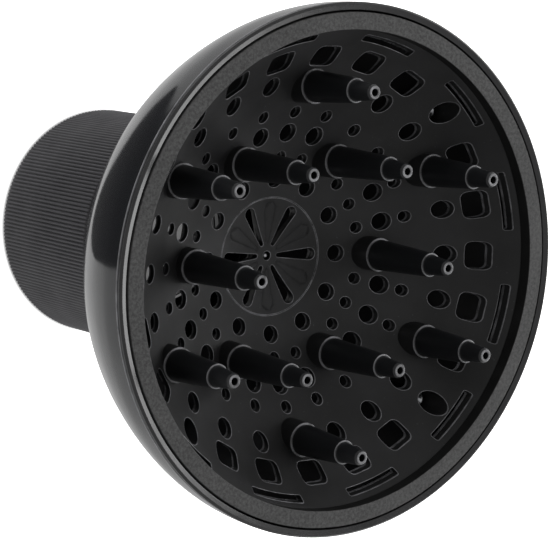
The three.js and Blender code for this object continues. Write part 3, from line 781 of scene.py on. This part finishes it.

# Satin ABS, charcoal grey on the crests, with painted shade that darkens the grooves to near black.
ribbed_abs, tree, where = new_finish("ribbed satin ABS")
parts = add(tree, "ShaderNodeSeparateXYZ", links={"Vector": where})
flat = add(tree, "ShaderNodeCombineXYZ", links={"X": parts.outputs["X"], "Y": parts.outputs["Y"]})
out = add(tree, "ShaderNodeVectorMath", {"operation": "LENGTH"}, {0: flat.outputs["Vector"]})
# Painted shade: near black at the rib roots, charcoal on the crests.
crest = add(tree, "ShaderNodeMapRange", links={
    "Value": out.outputs["Value"], "From Min": (collar_r - rib_depth) * MM, "From Max": collar_r * MM})
tint = add(tree, "ShaderNodeMix", {"data_type": "RGBA"}, {
    "Factor": crest.outputs["Result"], "A": linear("060607"), "B": linear("3a393d")})
lint = mottled(tree, where, 7, 0, 0.25, detail=8, rough=0.7)
greyed = add(tree, "ShaderNodeMix", {"data_type": "RGBA"}, {
    "Factor": lint, "A": tint.outputs["Result"], "B": linear("3d3c3f")})
grain = add(tree, "ShaderNodeTexNoise", links={"Vector": where, "Scale": 1 / (0.3 * MM), "Detail": 3.0})
tooth = add(tree, "ShaderNodeBump", links={
    "Height": grain.outputs["Fac"], "Strength": 0.15, "Distance": 0.04 * MM})
surface = add(tree, "ShaderNodeBsdfPrincipled", links={
    "Base Color": greyed.outputs["Result"], "Roughness": mottled(tree, where, 10, 0.48, 0.6),
    "IOR": 1.43, "Normal": tooth.outputs["Normal"]})
add(tree, "ShaderNodeOutputMaterial", links={"Surface": surface.outputs["BSDF"]})

root_r = collar_r - rib_depth
levels = [(36.6, 0, 0), (root_r - 0.6, 0, 0.2), (root_r - 0.15, 0.15, 0.7), (root_r, 0.5, 1),
          (root_r, 13, 1), (root_r, 26, 1), (root_r, 39, 1), (root_r, rib_end - 0.7, 1),
          (root_r, rib_end - 0.25, 0.7), (root_r + 0.05, rib_end, 0), (root_r + 0.1, rib_end + 0.4, 0),
          (root_r + 0.1, collar_front - 0.4, 0), (root_r - 0.02, collar_front - 0.12, 0),
          (root_r - 0.3, collar_front, 0), (collar_bore_r + 0.2, collar_front, 0),
          (collar_bore_r, collar_front - 0.2, 0), (collar_bore_r, bead_high, 0),
          (bead_r + 0.2, bead_high, 0), (bead_r, bead_high - 0.2, 0), (bead_r, bead_low + 0.2, 0),
          (bead_r + 0.2, bead_low, 0), (collar_bore_r, bead_low, 0), (collar_bore_r, lip_thick, 0),
          (lip_r + 0.2, lip_thick, 0), (lip_r, lip_thick - 0.2, 0), (lip_r, 0.2, 0), (lip_r + 0.2, 0, 0)]
bm = bmesh.new()
around = rib_count * points_per_rib
rows = []
for radius, z, rib in levels:
    row = []
    for k in range(around):
        swell = (0.5 - 0.5 * math.cos(math.tau * k / points_per_rib)) ** 0.6
        row.append(Vector(polar(radius + rib * rib_depth * swell, 360 * k / around)))
    rows.append(hoop(bm, row, level(z)))
for a, b in zip(rows, rows[1:] + rows[:1]):
    strip(bm, a, b)
sleeve = shell("ribbed_sleeve", bm)
dress(sleeve, [ribbed_abs], "ribbed_black", "collar", "twist_collar")

# ---------------------------------------------------------------------------------------------
# Jaw carrier, cam plate and drag ring. The carrier is the fixed ring that a nozzle stops against,
# the cam plate turns behind it, and the rubber drag ring keeps the collar where it is set.
carrier_z = 28.6
carrier_top = 31.2
hub_r = 27.2
cam_z = 31.5
pivot_ring = 33.4
lever = 8.5
lever_start = 95.95
jaw_swing = 22
collar_turn = 40

# Glass-filled nylon: charcoal, with short pale fibres just under a dull skin.
filled_nylon, tree, where = new_finish("glass-filled nylon")
stretch = add(tree, "ShaderNodeMapping", links={
    "Vector": where, "Rotation": (0, 0, 0.6), "Scale": (1, 0.25, 1)})
fibres = add(tree, "ShaderNodeTexNoise", links={
    "Vector": stretch.outputs["Vector"], "Scale": 1 / (0.5 * MM), "Detail": 3.0})
pale = add(tree, "ShaderNodeMapRange", links={
    "Value": fibres.outputs["Fac"], "From Min": 0.5, "From Max": 0.72})
tint = add(tree, "ShaderNodeMix", {"data_type": "RGBA"}, {
    "Factor": pale.outputs["Result"], "A": linear("191a1c"), "B": linear("2c2d30")})
skin = add(tree, "ShaderNodeBump", links={
    "Height": fibres.outputs["Fac"], "Strength": 0.2, "Distance": 0.05 * MM})
surface = add(tree, "ShaderNodeBsdfPrincipled", links={
    "Base Color": tint.outputs["Result"], "Roughness": mottled(tree, where, 6, 0.45, 0.62),
    "IOR": 1.52, "Normal": skin.outputs["Normal"]})
add(tree, "ShaderNodeOutputMaterial", links={"Surface": surface.outputs["BSDF"]})

# Nitrile rubber: dead black with a soft sheen.
nitrile, tree, where = new_finish("nitrile rubber")
tint = add(tree, "ShaderNodeMix", {"data_type": "RGBA"}, {
    "Factor": mottled(tree, where, 3, 0, 1), "A": linear("0c0c0d"), "B": linear("161618")})
surface = add(tree, "ShaderNodeBsdfPrincipled", links={
    "Base Color": tint.outputs["Result"], "Roughness": mottled(tree, where, 2, 0.6, 0.75), "IOR": 1.52})
add(tree, "ShaderNodeOutputMaterial", links={"Surface": surface.outputs["BSDF"]})


def slab(name, outer, holes, low, high, ease=0.25, spacing=3.0):
    """A flat piece with holes through it, its edges eased top and bottom."""
    bm = bmesh.new()
    ends = []
    for z, side in ((high, 1), (low, -1)):
        eased_holes = [offset(hole, ease) for hole in holes]
        ring, rings = sheet(bm, offset(outer, -ease), eased_holes, level(z), spacing)
        walls = [rounded_edge(bm, ring, outer, -1, level(z), side, ease)]
        walls += [rounded_edge(bm, r, hole, 1, level(z), side, ease) for r, hole in zip(rings, holes)]
        ends.append(walls)
    for a, b in zip(*ends):
        strip(bm, a, b)
    return shell(name, bm)


def slot_along(path, half, count=8):
    """A loop round a slot of constant width along a path."""
    ahead = lambda i: (path[min(i + 1, len(path) - 1)] - path[max(i - 1, 0)]).normalized()
    right = [p + Vector((ahead(i).y, -ahead(i).x)) * half for i, p in enumerate(path)]
    left = [p - Vector((ahead(i).y, -ahead(i).x)) * half for i, p in enumerate(path)]
    heading = [math.degrees(math.atan2(ahead(i).y, ahead(i).x)) for i in (0, len(path) - 1)]
    nose = [path[-1] + polar(half, heading[1] - 90 + 180 * k / count) for k in range(1, count)]
    tail = [path[0] + polar(half, heading[0] + 90 + 180 * k / count) for k in range(1, count)]
    return right + nose + left[::-1] + tail


def drive_point(swing):
    return Vector((pivot_ring, 0)) + polar(lever, lever_start + swing)


sweep = [drive_point(jaw_swing * k / 6) for k in range(7)]
carrier_holes = [circle(1.3, 24, polar(pivot_ring, a)) for a in inner_angles]
carrier_holes += [turned(slot_along(sweep, 1.26), a) for a in inner_angles]
carrier_holes += [circle(2.1, 32, polar(carrier_screw_ring, a)) for a in (0, 120, 240)]
carrier_holes += [circle(throat_r, 96)]
carrier = slab("jaw_carrier_ring", circle(35.6, 120), carrier_holes, carrier_z, carrier_top, 0.15)
dress(carrier, [filled_nylon], "nylon_black", "housing", "jaw_carrier")
hub_outline = rounded([(throat_r, 30.4), (hub_r, 30.4), (hub_r, 36.3), (throat_r, 36.3)], 0.3)
hub = spun("carrier_hub", hub_outline, 120)
dress(hub, [filled_nylon], "nylon_black", "housing", "jaw_carrier")

cam_path = [turned([drive_point(jaw_swing * k / 14)], -collar_turn * k / 14)[0] for k in range(15)]
cam_holes = [turned(slot_along(cam_path, 1.2), a) for a in inner_angles] + [circle(27.5, 96)]
cam = slab("cam_ring", circle(35.7, 120), cam_holes, cam_z, cam_z + 2.4)
dress(cam, [filled_nylon], "nylon_black", "collar", "cam_plate")

drag = spun("rubber_ring", rounded([(34.5, 44.3), (35.6, 44.3), (35.6, 46.3), (34.5, 46.3)], 0.6, 6), 120)
dress(drag, [nitrile], "rubber_black", "housing", "drag_ring")

# ---------------------------------------------------------------------------------------------
# Jaws and their pads. Six curved jaws in glass-filled nylon swing in together on the nozzle. Each
# carries a grooved strip of grey silicone, so that it grips without marking the dryer.
jaw_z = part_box("jaw_1")[0].z / MM
jaw_top = 28.2
jaw_inner_r = 33.2
jaw_outer_r = 35.6
eye_r = 2.2
pad_outer_r = jaw_inner_r - 0.3
pad_thick = 1.2

# Silicone: soft matte grey that scatters light just under its skin.
silicone, tree, where = new_finish("grey silicone")
tint = add(tree, "ShaderNodeMix", {"data_type": "RGBA"}, {
    "Factor": mottled(tree, where, 4, 0, 1, detail=5), "A": linear("3b3c3e"), "B": linear("4b4c4f")})
grain = add(tree, "ShaderNodeTexNoise", links={"Vector": where, "Scale": 1 / (0.3 * MM), "Detail": 2.0})
skin = add(tree, "ShaderNodeBump", links={
    "Height": grain.outputs["Fac"], "Strength": 0.2, "Distance": 0.05 * MM})
surface = add(tree, "ShaderNodeBsdfPrincipled", links={
    "Base Color": tint.outputs["Result"], "Roughness": mottled(tree, where, 5, 0.6, 0.75), "IOR": 1.41,
    "Normal": skin.outputs["Normal"]})
add(tree, "ShaderNodeOutputMaterial", links={"Surface": surface.outputs["BSDF"]})

jaw_loop = [polar(jaw_outer_r, 50 * k / 24) for k in range(25)]
jaw_loop += [polar(jaw_inner_r, 50 - (50 - 4.6) * k / 24) for k in range(25)]
around_eye = [Vector((pivot_ring, 0)) + polar(eye_r, 118 + (360 - 118) * k / 18) for k in range(18)]
jaw_loop = rounded(jaw_loop + around_eye, 0.4, 4)
pad_loop = rounded(arc_band(pad_outer_r - pad_thick, pad_outer_r, 6, 49, 24), 0.5, 3)
for number, angle in enumerate(inner_angles, 1):
    eye_hole = turned(circle(1.3, 24, (pivot_ring, 0)), angle)
    jaw = slab(f"curved_jaw_{number}", turned(jaw_loop, angle), [eye_hole], jaw_z, jaw_top, 0.2)
    dress(jaw, [filled_nylon], "nylon_black", f"jaw_{number}", f"jaw_{number}")
    at = turned([drive_point(0)], angle)[0]
    post_outline = rounded([(0, 27.6), (0.9, 27.6), (0.9, 33.6), (0, 33.6)], 0.2)
    post = spun(f"drive_post_{number}", post_outline, 24, at)
    dress(post, [filled_nylon], "nylon_black", f"jaw_{number}", f"jaw_{number}")
    pad = slab(f"grip_pad_{number}", turned(pad_loop, angle), [], 5, 27, 0.15)
    dress(pad, [silicone], "silicone_grey", f"jaw_{number}", f"jaw_pad_{number}")

# ---------------------------------------------------------------------------------------------
# Pivot pins and carrier screws. Turned steel, zinc plated: the headed pins that the jaws swing on,
# and the three screws that hold the carrier to the bell's neck.
for number, angle in enumerate(inner_angles, 1):
    name = f"pivot_pin_{number}"
    low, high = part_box(name)
    z0, z1 = low.z / MM, high.z / MM
    outline = rounded([(0, z0), (1.8, z0), (1.8, z0 + 0.9), (1, z0 + 0.9), (1, z1), (0, z1)], 0.2)
    dress(spun(f"headed_pin_{number}", outline, 32, polar(pivot_ring, angle)),
          [zinc_steel], "zinc_steel", "housing", name)
for number, angle in enumerate((0, 120, 240), 1):
    name = f"carrier_screw_{number}"
    low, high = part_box(name)
    z0, z1 = low.z / MM, high.z / MM
    head = [(0, z0 + 0.8), (0.6, z0 + 0.6), (1.0, z0 + 0.05), (1.2, z0), (1.8, z0 + 0.1),
            (2.0, z0 + 0.35), (2.0, z0 + 1.2), (1.9, z0 + 1.3)]
    shank = [(1, z0 + 1.3), (1, z1 - 0.8), (0.3, z1), (0, z1)]
    dress(spun(f"neck_screw_{number}", head + shank, 32, polar(carrier_screw_ring, angle)),
          [zinc_steel], "zinc_steel", "housing", name)

# ---------------------------------------------------------------------------------------------
# The set: a pale floor, a bright even room, and soft boxes. The camera looks down into the bowl
# from the left, so that the collar shows behind it.
floor_mesh = bpy.data.meshes.new("floor")
reach = 6.0
floor_mesh.from_pydata([(-reach, -reach, 0), (reach, -reach, 0), (reach, reach, 0), (-reach, reach, 0)],
                       [], [(0, 1, 2, 3)])
floor = bpy.data.objects.new("pale_floor", floor_mesh)
bpy.context.scene.collection.objects.link(floor)
# White paper that glows as on a light table, with painted shade where the collar stands on it.
paper, tree, where = new_finish("white paper floor")
tint = add(tree, "ShaderNodeMix", {"data_type": "RGBA"}, {
    "Factor": mottled(tree, where, 400, 0, 1), "A": linear("f6f6f6"), "B": linear("fbfbfb")})
out = add(tree, "ShaderNodeVectorMath", {"operation": "LENGTH"}, {0: where})
# Painted shade: the glow falls to a dim disc inside the collar's mouth.
lit = add(tree, "ShaderNodeMapRange", {"interpolation_type": "SMOOTHSTEP"}, {
    "Value": out.outputs["Value"], "From Min": 0.0378, "From Max": 0.0390, "To Min": 0.12, "To Max": 1.0})
surface = add(tree, "ShaderNodeBsdfPrincipled", links={
    "Base Color": tint.outputs["Result"], "Roughness": 0.9, "Emission Color": linear("ffffff"),
    "Emission Strength": lit.outputs["Result"]})
add(tree, "ShaderNodeOutputMaterial", links={"Surface": surface.outputs["BSDF"]})
floor_mesh.materials.append(paper)


def reflection_card(name, corners, height, grey, glow):
    """A card near the floor that only shows in gloss and glows: a painted reflection that sets what the
    bell's side reflects.
    """
    outline = rounded(corners, 0.035, 8)
    mesh = bpy.data.meshes.new(name)
    mesh.from_pydata([(p.x, p.y, height) for p in outline], [], [list(range(len(outline)))])
    card = bpy.data.objects.new(name, mesh)
    bpy.context.scene.collection.objects.link(card)
    card.visible_camera = False
    card.visible_diffuse = False
    card.visible_transmission = False
    card.visible_volume_scatter = False
    card.visible_shadow = False
    reflection_glow, tree, where = new_finish(name + " felt")
    surface = add(tree, "ShaderNodeBsdfPrincipled", links={
        "Base Color": linear(grey), "Roughness": 1.0, "Emission Color": linear("ffffff"),
        "Emission Strength": mottled(tree, where, 50, glow * 0.94, glow * 1.06)})
    add(tree, "ShaderNodeOutputMaterial", links={"Surface": surface.outputs["BSDF"]})
    mesh.materials.append(reflection_glow)


# Painted reflections: a glowing grey card and a dim black flag, seen only in gloss.
reflection_card("grey_card", [(-0.6, -0.6), (0.6, -0.6), (0.6, 0.6), (-0.6, 0.6)], 0.001, "101010", 0.7)
reflection_card("black_flag", [(-0.26, -0.005), (-0.045, -0.005), (-0.045, 0.13), (-0.26, 0.13)],
                0.002, "020202", 0.06)

world = bpy.data.worlds.new("white studio")
bpy.context.scene.world = world
world.use_nodes = True
world.node_tree.nodes["Background"].inputs["Color"].default_value = linear("ffffff")
world.node_tree.nodes["Background"].inputs["Strength"].default_value = 0.5

camera_at = Vector((-0.4153, 0.0936, 0.6745))
looking = Vector((0.5825, -0.1363, -0.8013)).normalized()
upright = Vector((0.0558, 0.9902, -0.1278))
sideways = looking.cross(upright).normalized()
upright = sideways.cross(looking)
camera_data = bpy.data.cameras.new("camera")
camera_data.lens = 150.96
camera_data.sensor_width = 36
camera_data.clip_start = 0.05
camera = bpy.data.objects.new("camera", camera_data)
facing = Matrix((sideways, upright, -looking)).transposed().to_4x4()
camera.matrix_world = Matrix.Translation(camera_at) @ facing
bpy.context.scene.collection.objects.link(camera)
bpy.context.scene.camera = camera


def soft_box(name, right, up, back, width, height, power):
    """A soft box, aimed at the object from a place given in metres to its right, above it and in
    front of it, as the camera sees it."""
    aim = Vector((0, 0, 0.09))
    light = bpy.data.lights.new(name, "AREA")
    light.shape = "RECTANGLE"
    light.size, light.size_y = width, height
    light.energy = power
    lamp = bpy.data.objects.new(name, light)
    lamp.location = aim + sideways * right + upright * up - looking * back
    lamp.rotation_mode = "QUATERNION"
    lamp.rotation_quaternion = (aim - lamp.location).to_track_quat("-Z", "Y")
    bpy.context.scene.collection.objects.link(lamp)
    return lamp


soft_box("backdrop", 0.95, -0.05, -0.5, 1.0, 1.0, 12)
soft_box("key", 0.95, 0.0, 0.35, 0.45, 0.45, 6).visible_glossy = False
soft_box("top", 0.1, 1.1, 0.3, 0.8, 0.4, 3.5).visible_glossy = False
bpy.context.scene.view_settings.view_transform = "Standard"
